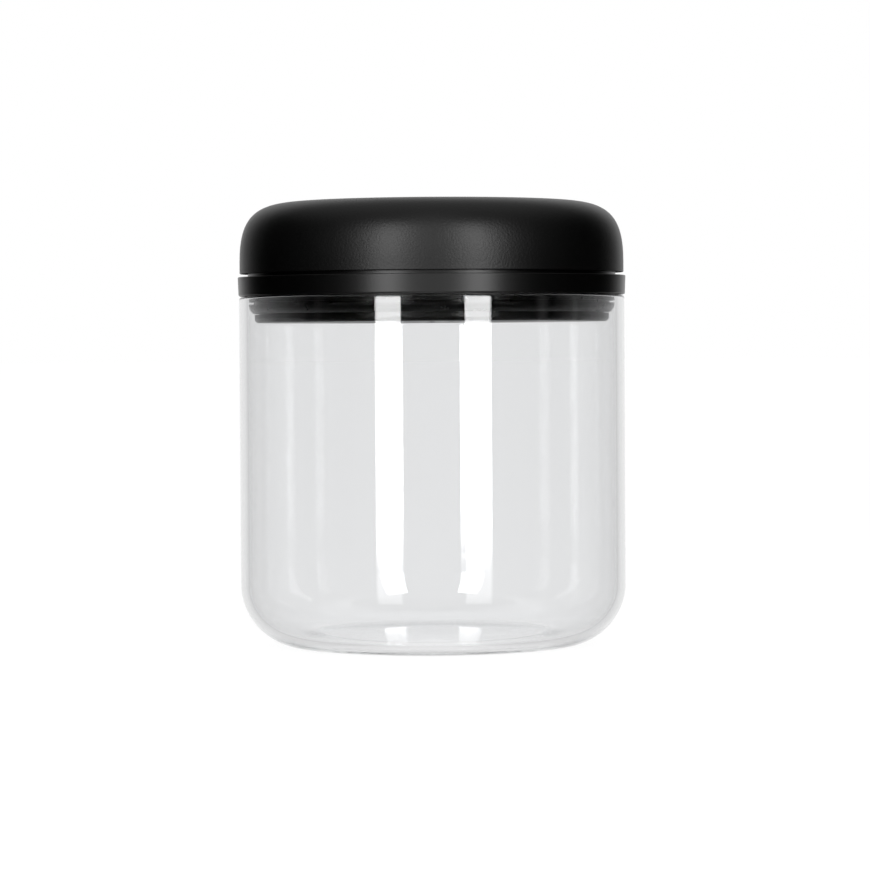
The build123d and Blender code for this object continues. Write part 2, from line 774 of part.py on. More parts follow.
# Release stem: cup under the diaphragm on a hollow stem through the release port
with BuildPart() as release_stem:
    spigot_bottom = poppet_bottom - spigot_reach
    with BuildSketch(Plane.XZ):
        with BuildLine():
            Polyline(
                (stem_bore, spigot_bottom),
                (stem_spigot_radius, spigot_bottom),
                (stem_spigot_radius, poppet_top),
                (stem_radius, poppet_top),
                (stem_radius, cup_bottom),
                (cup_radius, cup_bottom),
                (cup_radius, cup_top),
                (cup_radius - cup_wall, cup_top),
                (cup_radius - cup_wall, cup_bottom + cup_floor),
                (stem_bore, cup_bottom + cup_floor),
                close=True,
            )
        make_face()
    revolve(axis=around_z)
write_piece(release_stem, "release_stem")

# Release poppet: disc on the stem's spigot, under the port
with BuildPart() as release_poppet:
    with BuildSketch(Plane.XY.offset(poppet_bottom)):
        Circle(poppet_radius)
        Circle(stem_spigot_radius + seat_gap, mode=Mode.SUBTRACT)
    extrude(amount=poppet_thickness)
write_piece(release_poppet, "release_poppet")

# Release seal: rubber washer that the poppet holds against the seat ring
with BuildPart() as release_seal:
    with BuildSketch(Plane.XY.offset(poppet_top)):
        Circle(poppet_radius)
        Circle(stem_radius + seat_gap, mode=Mode.SUBTRACT)
    extrude(amount=release_seal_thickness)
write_piece(release_seal, "release_seal")

# Indicator pin: flanged pin in the button's centre
with BuildPart() as indicator_pin:
    with BuildSketch(Plane.XZ):
        with BuildLine():
            Polyline(
                (0, indicator_flange_bottom),
                (indicator_flange_radius, indicator_flange_bottom),
                (indicator_flange_radius, indicator_flange_top),
                (indicator_radius, indicator_flange_top),
                (indicator_radius, dish_bottom - indicator_edge),
                (indicator_radius - indicator_edge, dish_bottom),
                (0, dish_bottom),
                close=True,
            )
        make_face()
    revolve(axis=around_z)
write_piece(indicator_pin, "indicator_pin")

# Indicator diaphragm: thin rubber web with a bead clamped between cup and button
with BuildPart() as indicator_diaphragm:
    bead_bore = cup_radius - cup_wall
    web_radius = bead_bore - seat_gap
    with BuildSketch(Plane.XZ):
        with BuildLine():
            Polyline(
                (0, diaphragm_bottom),
                (web_radius, diaphragm_bottom),
                (web_radius, cup_top),
                (cup_radius - seat_gap, cup_top),
                (cup_radius - seat_gap, button_ceiling),
                (web_radius - diaphragm_web, button_ceiling),
                (web_radius - diaphragm_web, diaphragm_top),
                (0, diaphragm_top),
                close=True,
            )
        make_face()
    revolve(axis=around_z)
write_piece(indicator_diaphragm, "indicator_diaphragm")


def coil_spring(coil_radius, wire_radius, turns, bottom, top):
    """Open coil of round wire between two seats."""
    rise = top - bottom - wire_radius - wire_radius
    with BuildPart() as coil:
        with BuildLine():
            wire_path = Helix(
                pitch=rise / turns,
                height=rise,
                radius=coil_radius,
                center=(0, 0, bottom + wire_radius),
            )
        with BuildSketch(Plane(origin=wire_path @ 0, x_dir=(1, 0, 0), z_dir=wire_path % 0)):
            Circle(wire_radius)
        sweep(path=wire_path, is_frenet=True)
    return coil


button_spring = coil_spring(
    button_spring_radius, button_wire_radius, button_spring_turns, column_top, cup_bottom
)
write_piece(button_spring, "button_spring")

indicator_spring = coil_spring(
    indicator_spring_radius,
    indicator_wire_radius,
    indicator_spring_turns,
    cup_bottom + cup_floor,
    diaphragm_bottom,
)
write_piece(indicator_spring, "indicator_spring")

print("total height", cap_top)
print("piston stroke", stroke, "over", twist_angle, "degrees")
print("room under the poppet", poppet_bottom - floor_bottom)
print("indicator spring length", diaphragm_bottom - cup_bottom - cup_floor)
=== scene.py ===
import bpy
import json
from math import atan2, cos, pi, radians, sin
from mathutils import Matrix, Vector


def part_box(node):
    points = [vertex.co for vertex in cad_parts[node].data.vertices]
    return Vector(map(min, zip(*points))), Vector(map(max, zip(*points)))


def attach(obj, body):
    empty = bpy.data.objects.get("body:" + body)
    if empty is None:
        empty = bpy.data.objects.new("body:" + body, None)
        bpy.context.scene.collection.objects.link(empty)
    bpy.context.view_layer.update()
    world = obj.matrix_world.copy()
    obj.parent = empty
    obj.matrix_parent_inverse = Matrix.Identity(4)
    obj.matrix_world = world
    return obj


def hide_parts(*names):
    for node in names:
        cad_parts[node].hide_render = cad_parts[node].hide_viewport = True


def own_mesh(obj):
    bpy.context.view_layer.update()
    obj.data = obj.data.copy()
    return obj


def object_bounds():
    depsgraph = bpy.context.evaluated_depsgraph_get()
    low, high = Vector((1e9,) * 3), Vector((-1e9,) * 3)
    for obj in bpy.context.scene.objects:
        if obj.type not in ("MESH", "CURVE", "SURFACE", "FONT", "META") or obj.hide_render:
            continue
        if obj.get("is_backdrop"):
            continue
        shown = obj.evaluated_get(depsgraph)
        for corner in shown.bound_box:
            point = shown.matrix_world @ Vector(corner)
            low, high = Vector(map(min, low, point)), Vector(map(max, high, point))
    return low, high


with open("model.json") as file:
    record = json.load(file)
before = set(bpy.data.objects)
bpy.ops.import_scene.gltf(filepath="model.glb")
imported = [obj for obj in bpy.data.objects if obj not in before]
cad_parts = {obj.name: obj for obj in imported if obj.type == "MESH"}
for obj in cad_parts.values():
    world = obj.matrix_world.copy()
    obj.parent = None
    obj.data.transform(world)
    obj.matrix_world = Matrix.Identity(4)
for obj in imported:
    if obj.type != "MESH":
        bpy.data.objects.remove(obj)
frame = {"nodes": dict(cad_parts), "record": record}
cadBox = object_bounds()
mm = 0.001
white = (1, 1, 1, 1)
print("frame loaded", len(frame["nodes"]), "solids")


# Small helpers for node trees

def addNode(tree, kind, values=None, **settings):
    node = tree.nodes.new(kind)
    for key, value in settings.items():
        setattr(node, key, value)
    for key, value in (values or {}).items():
        node.inputs[key].default_value = value
    return node


def link(tree, source, target):
    tree.links.new(source, target)


def emptyMaterial(name):
    finish = bpy.data.materials.new(name)
    finish.use_nodes = True
    finish.node_tree.nodes.clear()
    return finish, finish.node_tree


def surfaceMaterial(name, values):
    finish, tree = emptyMaterial(name)
    output = addNode(tree, "ShaderNodeOutputMaterial")
    surface = addNode(tree, "ShaderNodeBsdfPrincipled", values)
    link(tree, surface.outputs["BSDF"], output.inputs["Surface"])
    place = addNode(tree, "ShaderNodeTexCoord")
    return finish, tree, surface, place.outputs["Object"]


def noiseField(tree, place, scale, detail=2.0, roughness=0.5):
    noise = addNode(tree, "ShaderNodeTexNoise", {"Scale": scale, "Detail": detail, "Roughness": roughness})
    link(tree, place, noise.inputs["Vector"])
    return noise.outputs["Fac"]


def spread(tree, field, low, high, start=0.3, end=0.7):
    ranged = addNode(tree, "ShaderNodeMapRange",
                     {"From Min": start, "From Max": end, "To Min": low, "To Max": high})
    link(tree, field, ranged.inputs["Value"])
    return ranged.outputs["Result"]


def blendColours(tree, field, first, second):
    mix = addNode(tree, "ShaderNodeMix", data_type="RGBA")
    mix.inputs["A"].default_value = (*first, 1)
    mix.inputs["B"].default_value = (*second, 1)
    link(tree, field, mix.inputs["Factor"])
    return mix.outputs["Result"]


def relief(tree, surface, field, depth, strength=1.0, under=None):
    bump = addNode(tree, "ShaderNodeBump", {"Strength": strength, "Distance": depth})
    link(tree, field, bump.inputs["Height"])
    if under is not None:
        link(tree, under.outputs["Normal"], bump.inputs["Normal"])
    link(tree, bump.outputs["Normal"], surface.inputs["Normal"])
    return bump


# Finishes

def clearGlass(look):
    finish, tree, surface, place = surfaceMaterial("clearGlass", {
        "Base Color": (*look["tint"], 1), "Roughness": look["roughness"], "IOR": look["bend"],
        "Transmission Weight": 1.0})
    relief(tree, surface, noiseField(tree, place, look["waveScale"], look["waveDetail"]), look["waveDepth"])
    body = addNode(tree, "ShaderNodeVolumeAbsorption",
                   {"Color": (*look["bodyColour"], 1), "Density": look["bodyDensity"]})
    link(tree, body.outputs["Volume"], tree.nodes["Material Output"].inputs["Volume"])
    return finish


def mouldedPlastic(name, look):
    finish, tree, surface, place = surfaceMaterial(name, {
        "IOR": look["bend"], "Specular IOR Level": look["shine"]})
    cloud = noiseField(tree, place, look["cloudScale"], look["cloudDetail"])
    colour = blendColours(tree, spread(tree, cloud, 0, 1), look["dark"], look["pale"])
    link(tree, colour, surface.inputs["Base Color"])
    gloss = spread(tree, cloud, look["glossy"], look["matt"])
    link(tree, gloss, surface.inputs["Roughness"])
    flow = noiseField(tree, place, look["flowScale"], look["flowDetail"])
    broad = relief(tree, surface, flow, look["flowDepth"])
    relief(tree, surface, noiseField(tree, place, look["grainScale"], look["grainDetail"]),
           look["grainDepth"], look["grainStrength"], broad)
    return finish


def siliconeRubber(name, look):
    finish, tree, surface, place = surfaceMaterial(name, {
        "IOR": look["bend"], "Sheen Weight": look["bloom"], "Sheen Roughness": look["bloomSpread"],
        "Sheen Tint": (*look["bloomColour"], 1)})
    dust = noiseField(tree, place, look["dustScale"], look["dustDetail"], look["dustRoughness"])
    colour = blendColours(tree, spread(tree, dust, 0, 1), look["dark"], look["pale"])
    link(tree, colour, surface.inputs["Base Color"])
    link(tree, spread(tree, dust, look["glossy"], look["matt"]), surface.inputs["Roughness"])
    skin = noiseField(tree, place, look["skinScale"])
    relief(tree, surface, skin, look["skinDepth"], look["skinStrength"])
    return finish


def turnedSteel(name, look):
    finish, tree, surface, place = surfaceMaterial(name, {"Metallic": 1.0})
    stretch = addNode(tree, "ShaderNodeMapping")
    stretch.inputs["Scale"].default_value = look["grainStretch"]
    link(tree, place, stretch.inputs["Vector"])
    grain = noiseField(tree, stretch.outputs["Vector"], look["grainScale"], look["grainDetail"])
    patina = noiseField(tree, place, look["patinaScale"])
    link(tree, blendColours(tree, spread(tree, patina, 0, 1), look["dark"], look["pale"]),
         surface.inputs["Base Color"])
    link(tree, spread(tree, grain, look["glossy"], look["matt"]), surface.inputs["Roughness"])
    relief(tree, surface, grain, look["grainDepth"], look["grainStrength"])
    return finish


def needledFelt(look):
    finish, tree, surface, place = surfaceMaterial("needledFelt", {
        "Roughness": look["roughness"], "Sheen Weight": look["fluff"],
        "Sheen Roughness": look["fluffSpread"], "Sheen Tint": white})
    fibres = addNode(tree, "ShaderNodeTexVoronoi", {"Scale": look["fibreScale"]},
                     feature="DISTANCE_TO_EDGE")
    warp = addNode(tree, "ShaderNodeTexNoise", {
        "Scale": look["fibreScale"] / look["fibresPerTangle"], "Detail": look["tangleDetail"]})
    link(tree, place, warp.inputs["Vector"])
    push = addNode(tree, "ShaderNodeVectorMath", operation="MULTIPLY_ADD")
    push.inputs[1].default_value = (look["tangle"],) * 3
    link(tree, warp.outputs["Color"], push.inputs[0])
    link(tree, place, push.inputs[2])
    link(tree, push.outputs["Vector"], fibres.inputs["Vector"])
    threads = spread(tree, fibres.outputs["Distance"], 0, 1, 0.0, look["fibreWidth"])
    link(tree, blendColours(tree, threads, look["dark"], look["pale"]), surface.inputs["Base Color"])
    relief(tree, surface, fibres.outputs["Distance"], look["fibreDepth"])
    return finish


glassLook = {
    "tint": (0.954, 0.957, 0.961),
    "roughness": 0.0,
    "bend": 1.5,
    "waveScale": 30.0,
    "waveDetail": 1.0,
    "waveDepth": 0.000004,
    "bodyColour": (0.50, 0.52, 0.54),
    "bodyDensity": 14.0,
}
shellLook = {
    "dark": (0.0002, 0.0002, 0.0002), "pale": (0.0007, 0.0007, 0.0007), "bend": 1.5, "shine": 0.32,
    "glossy": 0.37, "matt": 0.40, "cloudScale": 45.0, "cloudDetail": 3.0,
    "flowScale": 25.0, "flowDetail": 1.0, "flowDepth": 0.000004,
    "grainScale": 1600.0, "grainDetail": 2.0, "grainDepth": 0.00007, "grainStrength": 0.6,
}
chassisLook = dict(shellLook, glossy=0.30, matt=0.32, shine=0.38, grainDepth=0.000006)
buttonLook = dict(shellLook, glossy=0.40, matt=0.44, grainDepth=0.000015)
acetalLook = {
    "dark": (0.74, 0.735, 0.70), "pale": (0.82, 0.82, 0.79), "bend": 1.48, "shine": 0.5,
    "glossy": 0.28, "matt": 0.40, "cloudScale": 60.0, "cloudDetail": 3.0,
    "flowScale": 90.0, "flowDetail": 1.0, "flowDepth": 0.00002,
    "grainScale": 3000.0, "grainDetail": 2.0, "grainDepth": 0.00001, "grainStrength": 0.4,
}
filledLook = dict(acetalLook, dark=(0.15, 0.15, 0.16), pale=(0.23, 0.23, 0.24), matt=0.55,
                  grainScale=1800.0, grainDepth=0.00003)
greenLook = dict(acetalLook, dark=(0.07, 0.34, 0.10), pale=(0.11, 0.44, 0.15))
blackRubberLook = {
    "dark": (0.001, 0.001, 0.001), "pale": (0.003, 0.003, 0.003), "bend": 1.41,
    "glossy": 0.26, "matt": 0.34, "dustScale": 300.0, "dustDetail": 4.0, "dustRoughness": 0.6,
    "skinScale": 1500.0, "skinDepth": 0.00001, "skinStrength": 0.5,
    "bloom": 0.0, "bloomSpread": 0.6, "bloomColour": (0.9, 0.9, 0.9),
}
greyRubberLook = dict(blackRubberLook, dark=(0.24, 0.24, 0.24), pale=(0.34, 0.34, 0.34),
                      glossy=0.45, matt=0.62, skinDepth=0.00003, bloom=0.05)
steelLook = {
    "dark": (0.50, 0.50, 0.51), "pale": (0.66, 0.66, 0.66), "glossy": 0.22, "matt": 0.38,
    "grainStretch": (1.0, 1.0, 8.0), "grainScale": 900.0, "grainDetail": 3.0,
    "grainDepth": 0.00001, "grainStrength": 0.6, "patinaScale": 200.0,
}
springLook = dict(steelLook, dark=(0.44, 0.45, 0.46), pale=(0.60, 0.61, 0.62), glossy=0.15, matt=0.30)
feltLook = {
    "dark": (0.48, 0.47, 0.44), "pale": (0.74, 0.73, 0.70), "roughness": 0.95,
    "fluff": 0.4, "fluffSpread": 0.5, "fibreScale": 1400.0, "fibreWidth": 0.2, "fibreDepth": 0.0002,
    "fibresPerTangle": 3, "tangle": 0.002, "tangleDetail": 3.0,
}

finishes = {
    "clear_glass": clearGlass(glassLook),
    "black_shell": mouldedPlastic("blackShell", shellLook),
    "black_chassis": mouldedPlastic("blackChassis", chassisLook),
    "black_rubber": siliconeRubber("blackRubber", blackRubberLook),
    "grey_rubber": siliconeRubber("greyRubber", greyRubberLook),
    "white_acetal": mouldedPlastic("whiteAcetal", acetalLook),
    "grey_plastic": mouldedPlastic("greyPlastic", filledLook),
    "steel": turnedSteel("zincSteel", steelLook),
    "spring_steel": turnedSteel("springSteel", springLook),
    "green_plastic": mouldedPlastic("greenPlastic", greenLook),
    "felt": needledFelt(feltLook),
}
buttonFinish = mouldedPlastic("buttonBlack", buttonLook)
nodeFinish = {row["node"]: finishes[row["material_slot"]] for row in frame["record"]["subparts"]}
nodeFinish["release_button"] = buttonFinish
for nodeName, solid in frame["nodes"].items():
    for materialSlot in solid.material_slots:
        materialSlot.material = nodeFinish[nodeName]
print("finishes", len(finishes) + 1)


# Geometry node helpers

weldDistance = 0.002 * mm
wireSides = 12


def startTree(name, sizes):
    tree = bpy.data.node_groups.new(name, "GeometryNodeTree")
    tree.interface.new_socket("Outline", in_out="INPUT", socket_type="NodeSocketGeometry")
    for label, kind in sizes:
        tree.interface.new_socket(label, in_out="INPUT", socket_type=kind)
    tree.interface.new_socket("Piece", in_out="OUTPUT", socket_type="NodeSocketGeometry")
    return tree, addNode(tree, "NodeGroupInput"), addNode(tree, "NodeGroupOutput")


def mathNode(tree, operation, first, second):
    node = addNode(tree, "ShaderNodeMath", operation=operation)
    for index, value in enumerate((first, second)):
        if isinstance(value, (int, float)):
            node.inputs[index].default_value = value
        else:
            link(tree, value, node.inputs[index])
    return node.outputs[0]


def finishTree(tree, start, end, geometry):
    real = addNode(tree, "GeometryNodeRealizeInstances")
    coat = addNode(tree, "GeometryNodeSetMaterial")
    link(tree, geometry, real.inputs[0])
    link(tree, real.outputs[0], coat.inputs["Geometry"])
    link(tree, start.outputs["Finish"], coat.inputs["Material"])
    link(tree, coat.outputs[0], end.inputs["Piece"])


def growPiece(name, points, edges, tree, sizes):
    seed = bpy.data.meshes.new(name)
    seed.from_pydata(points, edges, [])
    piece = bpy.data.objects.new(name, seed)
    bpy.context.scene.collection.objects.link(piece)
    modifier = piece.modifiers.new("shape", "NODES")
    modifier.node_group = tree
    for item in tree.interface.items_tree:
        if item.in_out == "INPUT" and item.name in sizes:
            modifier[item.identifier] = sizes[item.name]
    bpy.context.view_layer.update()
    shaped = piece.evaluated_get(bpy.context.evaluated_depsgraph_get())
    made = bpy.data.meshes.new_from_object(shaped)
    piece.modifiers.remove(modifier)
    piece.data = made
    made.name = name
    return piece


def latheTree():
    tree, start, end = startTree("turnedWall", [("Steps Round", "NodeSocketInt"),
                                                ("Finish", "NodeSocketMaterial")])
    outline, steps = start.outputs["Outline"], start.outputs["Steps Round"]
    count = addNode(tree, "GeometryNodeAttributeDomainSize")
    link(tree, outline, count.inputs[0])
    rows = count.outputs["Point Count"]
    grid = addNode(tree, "GeometryNodeMeshGrid")
    link(tree, mathNode(tree, "ADD", steps, 1), grid.inputs["Vertices X"])
    link(tree, rows, grid.inputs["Vertices Y"])
    index = addNode(tree, "GeometryNodeInputIndex").outputs[0]
    clearIndex = mathNode(tree, "ADD", index, 0.5)  # keeps the division clear of whole numbers
    column = mathNode(tree, "FLOOR", mathNode(tree, "DIVIDE", clearIndex, rows), 0)
    row = mathNode(tree, "SUBTRACT", index, mathNode(tree, "MULTIPLY", column, rows))
    place = addNode(tree, "GeometryNodeInputPosition").outputs[0]
    sample = addNode(tree, "GeometryNodeSampleIndex", data_type="FLOAT_VECTOR", domain="POINT")
    link(tree, outline, sample.inputs["Geometry"])
    link(tree, place, sample.inputs["Value"])
    link(tree, row, sample.inputs["Index"])
    angle = mathNode(tree, "MULTIPLY", mathNode(tree, "DIVIDE", column, steps), 2 * pi)
    turn = addNode(tree, "ShaderNodeVectorRotate", rotation_type="Z_AXIS")
    link(tree, sample.outputs["Value"], turn.inputs["Vector"])
    link(tree, angle, turn.inputs["Angle"])
    bend = addNode(tree, "GeometryNodeSetPosition")
    link(tree, grid.outputs["Mesh"], bend.inputs["Geometry"])
    link(tree, turn.outputs["Vector"], bend.inputs["Position"])
    weld = addNode(tree, "GeometryNodeMergeByDistance", {"Distance": weldDistance})
    link(tree, bend.outputs[0], weld.inputs["Geometry"])
    smooth = addNode(tree, "GeometryNodeSetShadeSmooth")
    link(tree, weld.outputs[0], smooth.inputs["Geometry"])
    finishTree(tree, start, end, smooth.outputs[0])
    return tree


def coilTree():
    tree, start, end = startTree("coilWire", [
        ("Turns", "NodeSocketFloat"), ("Mean Radius", "NodeSocketFloat"), ("Height", "NodeSocketFloat"),
        ("Wire Radius", "NodeSocketFloat"), ("Low End", "NodeSocketFloat"),
        ("Finish", "NodeSocketMaterial")])
    wire = start.outputs["Wire Radius"]
    index = addNode(tree, "GeometryNodeInputIndex").outputs[0]
    count = addNode(tree, "GeometryNodeAttributeDomainSize")
    link(tree, start.outputs["Outline"], count.inputs[0])
    last = mathNode(tree, "SUBTRACT", count.outputs["Point Count"], 1)
    along = mathNode(tree, "DIVIDE", index, last)
    angle = mathNode(tree, "MULTIPLY", mathNode(tree, "MULTIPLY", along, start.outputs["Turns"]), 2 * pi)
    rise = mathNode(tree, "SUBTRACT", start.outputs["Height"], mathNode(tree, "MULTIPLY", wire, 2))
    climb = mathNode(tree, "MULTIPLY", along, rise)
    level = mathNode(tree, "ADD", mathNode(tree, "ADD", climb, wire), start.outputs["Low End"])
    spoke = addNode(tree, "ShaderNodeCombineXYZ")
    link(tree, start.outputs["Mean Radius"], spoke.inputs["X"])
    link(tree, level, spoke.inputs["Z"])
    turn = addNode(tree, "ShaderNodeVectorRotate", rotation_type="Z_AXIS")
    link(tree, spoke.outputs[0], turn.inputs["Vector"])
    link(tree, angle, turn.inputs["Angle"])
    wind = addNode(tree, "GeometryNodeSetPosition")
    link(tree, start.outputs["Outline"], wind.inputs["Geometry"])
    link(tree, turn.outputs["Vector"], wind.inputs["Position"])
    path = addNode(tree, "GeometryNodeMeshToCurve")
    link(tree, wind.outputs[0], path.inputs["Mesh"])
    upright = addNode(tree, "GeometryNodeSetCurveNormal", mode="Z_UP")
    link(tree, path.outputs[0], upright.inputs[0])
    ring = addNode(tree, "GeometryNodeCurvePrimitiveCircle", {"Resolution": wireSides})
    link(tree, wire, ring.inputs["Radius"])
    tube = addNode(tree, "GeometryNodeCurveToMesh", {"Fill Caps": True})
    link(tree, upright.outputs[0], tube.inputs["Curve"])
    link(tree, ring.outputs["Curve"], tube.inputs["Profile Curve"])
    finishTree(tree, start, end, tube.outputs[0])
    return tree


def chain(count):
    return [(index, index + 1) for index in range(count - 1)]


def arcPoints(centre, radius, startAngle, endAngle, steps):
    turn = [startAngle + (endAngle - startAngle) * step / steps for step in range(steps + 1)]
    return [(centre[0] + radius * cos(radians(a)), centre[1] + radius * sin(radians(a))) for a in turn]


# Glass jar, one wall turned round the axis

jarSizes = {  # millimetres, the outside radius and height come from the frame
    "wall": 2.5,
    "footCorner": 17.8,
    "floorCorner": 15.0,
    "base": 2.6,
    "footRing": 3.6,
    "pushUp": 2.0,
    "floorCrown": 2.0,
    "stepsRound": 320,
    "cornerSteps": 44,
    "rimEdge": 0.6,
    "rimSteps": 8,
    "straightEnd": 0.4,  # from a rounded edge to a point that keeps the straight wall's shading upright
    "bowlSteps": 20,
}


def bowlPoints(height, edge, steps):  # an arc that is level at the axis
    drop = height - edge[1]
    radius = (edge[0] ** 2 + drop ** 2) / (2 * drop)
    reach = atan2(edge[0], radius - drop)
    return [(radius * sin(reach * step / steps), height - radius * (1 - cos(reach * step / steps)))
            for step in range(steps + 1)]


def jarOutline(sizes):
    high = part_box("glass_jar")[1]
    outer, height = high.x / mm, high.z / mm
    inner = outer - sizes["wall"]
    rim = sizes["rimEdge"]
    foot = outer - sizes["footCorner"]
    floor = inner - sizes["floorCorner"]
    corner, rimSteps, bowl = sizes["cornerSteps"], sizes["rimSteps"], sizes["bowlSteps"]
    wallTop = height - rim - sizes["straightEnd"]
    outerStart = sizes["footCorner"] + sizes["straightEnd"]
    innerStart = sizes["base"] + sizes["floorCorner"] + sizes["straightEnd"]
    points = bowlPoints(sizes["pushUp"], (foot - sizes["footRing"], 0), bowl)
    points += arcPoints((foot, sizes["footCorner"]), sizes["footCorner"], -90, 0, corner)
    points += [(outer, outerStart), (outer, wallTop)]
    points += arcPoints((outer - rim, height - rim), rim, 0, 90, rimSteps)
    points += arcPoints((inner + rim, height - rim), rim, 90, 180, rimSteps)
    points += [(inner, wallTop), (inner, innerStart)]
    points += arcPoints((floor, sizes["base"] + sizes["floorCorner"]), sizes["floorCorner"], 0, -90, corner)
    points += bowlPoints(sizes["base"] + sizes["floorCrown"], (floor, sizes["base"]), bowl)[-2::-1]
    return [(r * mm, 0, z * mm) for r, z in points]


jarPoints = jarOutline(jarSizes)
glassJar = growPiece("glassJar", jarPoints, chain(len(jarPoints)), latheTree(), {
    "Steps Round": jarSizes["stepsRound"], "Finish": finishes["clear_glass"]})
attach(glassJar, "jar")
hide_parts("glass_jar")
print("glass jar", len(glassJar.data.polygons), "faces")


# Coil springs under the button and under the indicator

springSizes = {  # millimetres, the height comes from the frame and the low end stays with the body
    "buttonSpring": {
        "node": "button_spring", "body": "lid", "joint": "button_press",
        "turns": 4.0, "meanRadius": 6.0, "wireRadius": 0.35, "travel": 2.5},
    "indicatorSpring": {
        "node": "indicator_spring", "body": "button", "joint": "indicator_drop",
        "turns": 3.0, "meanRadius": 2.2, "wireRadius": 0.175, "travel": 1.5},
}
stepsPerTurn = 32
coil = coilTree()
for name, sizes in springSizes.items():
    low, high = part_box(sizes["node"])
    pointCount = int(sizes["turns"] * stepsPerTurn) + 1
    spring = growPiece(name, [(step, 0, 0) for step in range(pointCount)], chain(pointCount), coil, {
        "Turns": sizes["turns"], "Mean Radius": sizes["meanRadius"] * mm, "Height": high.z - low.z,
        "Wire Radius": sizes["wireRadius"] * mm, "Low End": low.z, "Finish": finishes["spring_steel"]})
    spring.data.shade_smooth()
    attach(spring, sizes["body"])
    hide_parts(sizes["node"])
    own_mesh(spring)
    print(name, len(spring.data.polygons), "faces")


# Studio: pale floor, plain sky and two tall lights

studio = {  # heights are the sine of the angle above the horizon, turns are degrees round the jar
    "sky": 0.45,  # what lights the object
    "dome": 1.2,  # what the glass shows above
    "domeHeights": (0.60, 0.80),
    "table": 0.12,  # what the glass shows below
    "tableHeights": (-0.80, -0.45),
    "backdrop": [(0.0, 1.0), (9.0, 1.0), (14.0, 0.82), (26.0, 0.82), (58.0, 0.0)],  # turn from behind, level
    "underLevel": 0.86,  # of the backdrop, below the floor line
    "underHeights": (-0.45, -0.12),
    "walls": (0.55, 78.0, 118.0, 145.0, 160.0),  # level, and the turns where the side walls rise and fall
    "bands": [(-96.0, 5.4, 0.07), (-72.0, 4.0, 0.08), (69.6, 6.5, 0.15), (94.0, 4.2, 0.30)],
    "bandEdge": 1.0,  # the bands above give middle, width and level
    "softDome": 0.55,  # what matt pieces show above
    "softDomeHeights": (0.55, 0.95),
    "softTable": 3.0,  # what matt pieces show straight below
    "softTableHeights": (-0.93, -0.85),
    "softBackdrop": [(0.0, 1.0), (18.0, 1.0), (44.0, 0.0)],
    "softBackTop": 0.4,  # level of the soft backdrop at its upper height
    "softBackHeights": (0.2, 0.6),
    "softFill": 1.05,  # what matt pieces show between the lights
    "softFillTurns": [(-21.0, 0.0), (-9.0, 1.0), (9.0, 1.0), (21.0, 0.0)],
    "floorSize": 40.0,
    "floorGlow": 0.96,
    "floorBounce": 0.45,
    "floorColour": 0.10,
    "stripLevel": 9.7,
    "stripFade": [(-0.5, 0.10), (-0.30, 0.15), (-0.12, 0.19), (-0.07, 0.20), (-0.055, 0.27), (-0.03, 1.0),
                  (1.25, 1.0)],  # metres up, share of the level
    "stripDistance": 1.45,
    "stripTop": 1.25,
    "stripBottom": -0.12,  # the low strips go on from here
    "lowStripBottom": -0.5,  # past the floor, for what the jar's foot shows
    "strips": [(-33.1, -18.1), (19.3, 34.6)],  # turns from the camera
    "bounces": 32,
    "glossyBounces": 24,
}
fullTurn = 360.0
anyBounce = 0.5  # a ray depth above this means one bounce or more


def rayKinds(tree):
    path = addNode(tree, "ShaderNodeLightPath")
    mirrored = mathNode(tree, "GREATER_THAN", path.outputs["Glossy Depth"], anyBounce)
    scattered = mathNode(tree, "GREATER_THAN", path.outputs["Diffuse Depth"], anyBounce)
    direct = mathNode(tree, "SUBTRACT", 1.0, mathNode(tree, "MAXIMUM", mirrored, scattered))
    return direct, mirrored, scattered


def levelRamp(tree, field, stops):
    ramp = addNode(tree, "ShaderNodeValToRGB")
    points = ramp.color_ramp.elements
    while len(points) < len(stops):
        points.new(0.5)  # its place is set below
    for point, (position, level) in zip(points, sorted(stops)):
        point.position = position
        point.color = (level, level, level, 1)
    link(tree, field, ramp.inputs[0])
    return ramp.outputs["Color"]


def turnRamp(tree, turn, stops):
    return levelRamp(tree, turn, [(angle / fullTurn + 0.5, level) for angle, level in stops])


def backdropStops(side):
    return [(turn - 180.0, level) for turn, level in side] + [(180.0 - turn, level) for turn, level in side]


def bandStops(look):
    stops = []
    for middle, width, level in look["bands"]:
        inner, outer = (width - look["bandEdge"]) / 2, (width + look["bandEdge"]) / 2
        stops += [(middle - outer, 0.0), (middle - inner, level)]
        stops += [(middle + inner, level), (middle + outer, 0.0)]
    return stops


def wallStops(level, rise, full, fade, gone):
    side = [(rise, 0.0), (full, level), (fade, level), (gone, 0.0)]
    return side + [(-turn, height) for turn, height in side]


def brightest(tree, fields):
    result = fields[0]
    for field in fields[1:]:
        result = mathNode(tree, "MAXIMUM", result, field)
    return result


